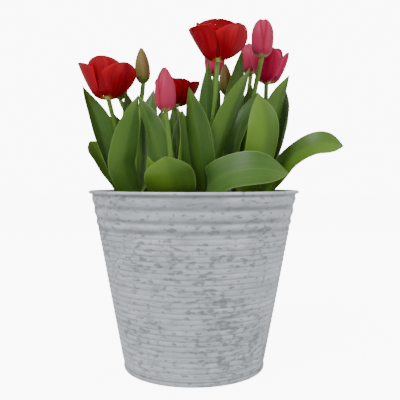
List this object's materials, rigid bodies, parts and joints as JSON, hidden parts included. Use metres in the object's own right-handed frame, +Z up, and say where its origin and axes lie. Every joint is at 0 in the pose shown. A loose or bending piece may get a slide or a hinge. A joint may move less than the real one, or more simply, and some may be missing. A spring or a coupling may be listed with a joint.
{
  "type": "potted tulip",
  "caption": "Red tulips with pink and green buds and broad grey-green leaves, growing in soil in a round tapered zinc pot with a rolled rim and ribs.",
  "frame": {"origin": "centre of the flat underside of the pot", "axes": "+Z up, -Y towards the front from which the picture was taken, +X to the right as seen from there"},
  "size_m": [0.2449, 0.2, 0.3332],
  "materials": {
    "zinc": "galvanised, dull, mottled",
    "soil": "dark crumbly potting soil, stood in for by wood",
    "bulb_skin": "papery brown skin",
    "leaf": "waxy living leaf and stem",
    "petal_red": "silky living petal, deep red",
    "petal_pink": "living petal in bud, pink, greenish at its foot",
    "petal_green": "living petal in tight bud, green flushed with brown"
  },
  "bodies": {
    "root": {"pot": "zinc", "soil": "soil", "bulb_a": "bulb_skin", "bulb_b": "bulb_skin", "bulb_c": "bulb_skin", "bulb_d": "bulb_skin", "bulb_e": "bulb_skin", "bulb_f": "bulb_skin", "bulb_g": "bulb_skin", "bulb_h": "bulb_skin", "bulb_i": "bulb_skin", "bulb_j": "bulb_skin", "bulb_k": "bulb_skin", "leafy_stem_a": "leaf", "leafy_stem_b": "leaf", "leafy_stem_c": "leaf", "leafy_stem_d": "leaf", "leafy_stem_e": "leaf", "leafy_stem_f": "leaf", "leafy_stem_g": "leaf", "leafy_stem_h": "leaf", "leafy_stem_i": "leaf", "leafy_stem_j": "leaf", "leafy_stem_k": "leaf", "bloom_a": "petal_red", "bloom_b": "petal_green", "bloom_c": "petal_pink", "bloom_d": "petal_red", "bloom_e": "petal_red", "bloom_f": "petal_pink", "bloom_g": "petal_green", "bloom_h": "petal_pink", "bloom_i": "petal_pink", "bloom_j": "petal_red", "bloom_k": "petal_green"}
  },
  "joints": []
}
